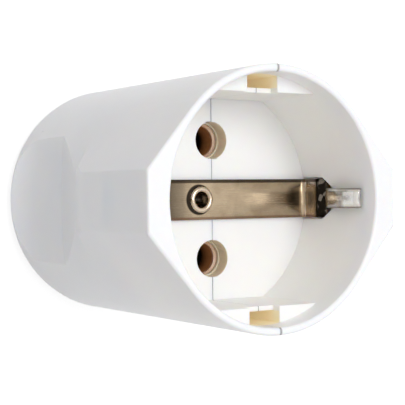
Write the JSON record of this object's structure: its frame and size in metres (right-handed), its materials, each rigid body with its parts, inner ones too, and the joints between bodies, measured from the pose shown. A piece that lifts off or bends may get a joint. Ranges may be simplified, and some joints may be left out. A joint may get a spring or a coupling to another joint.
{
  "type": "inline socket connector",
  "caption": "Inline cord socket in two half shells, with a round plug recess, sleeve contacts for round pins and a sprung earth strap across the floor.",
  "frame": {"origin": "centre of the flat rear end, on the mating axis", "axes": "+Z along the mating axis towards the plug, +Y through the two pin holes, +X through the right-hand lug"},
  "size_m": [0.0456, 0.0404, 0.054],
  "materials": {
    "housing_plastic": "white moulded thermoplastic, satin gloss",
    "clamp_plastic": "moulded polyamide, matt",
    "plated_strip": "nickel-plated spring strip, rolled",
    "rivet_metal": "nickel-plated, formed",
    "contact_brass": "turned and milled",
    "spring_steel": "hardened strip",
    "screw_steel": "zinc-plated"
  },
  "bodies": {
    "root": {"shell_left": "housing_plastic", "shell_right": "housing_plastic", "earth_strap": "plated_strip", "earth_bracket": "plated_strip", "earth_clamp_plate": "plated_strip", "earth_rivet": "rivet_metal", "earth_screw": "screw_steel", "line_screw_upper": "screw_steel", "line_screw_lower": "screw_steel", "clamp_screw_upper": "screw_steel", "clamp_screw_lower": "screw_steel", "housing_screw_upper": "screw_steel", "housing_screw_lower": "screw_steel", "contact_sleeve_upper": "contact_brass", "contact_sleeve_lower": "contact_brass", "sleeve_spring_upper": "spring_steel", "sleeve_spring_lower": "spring_steel", "cord_clamp_bar": "clamp_plastic"}
  },
  "joints": []
}
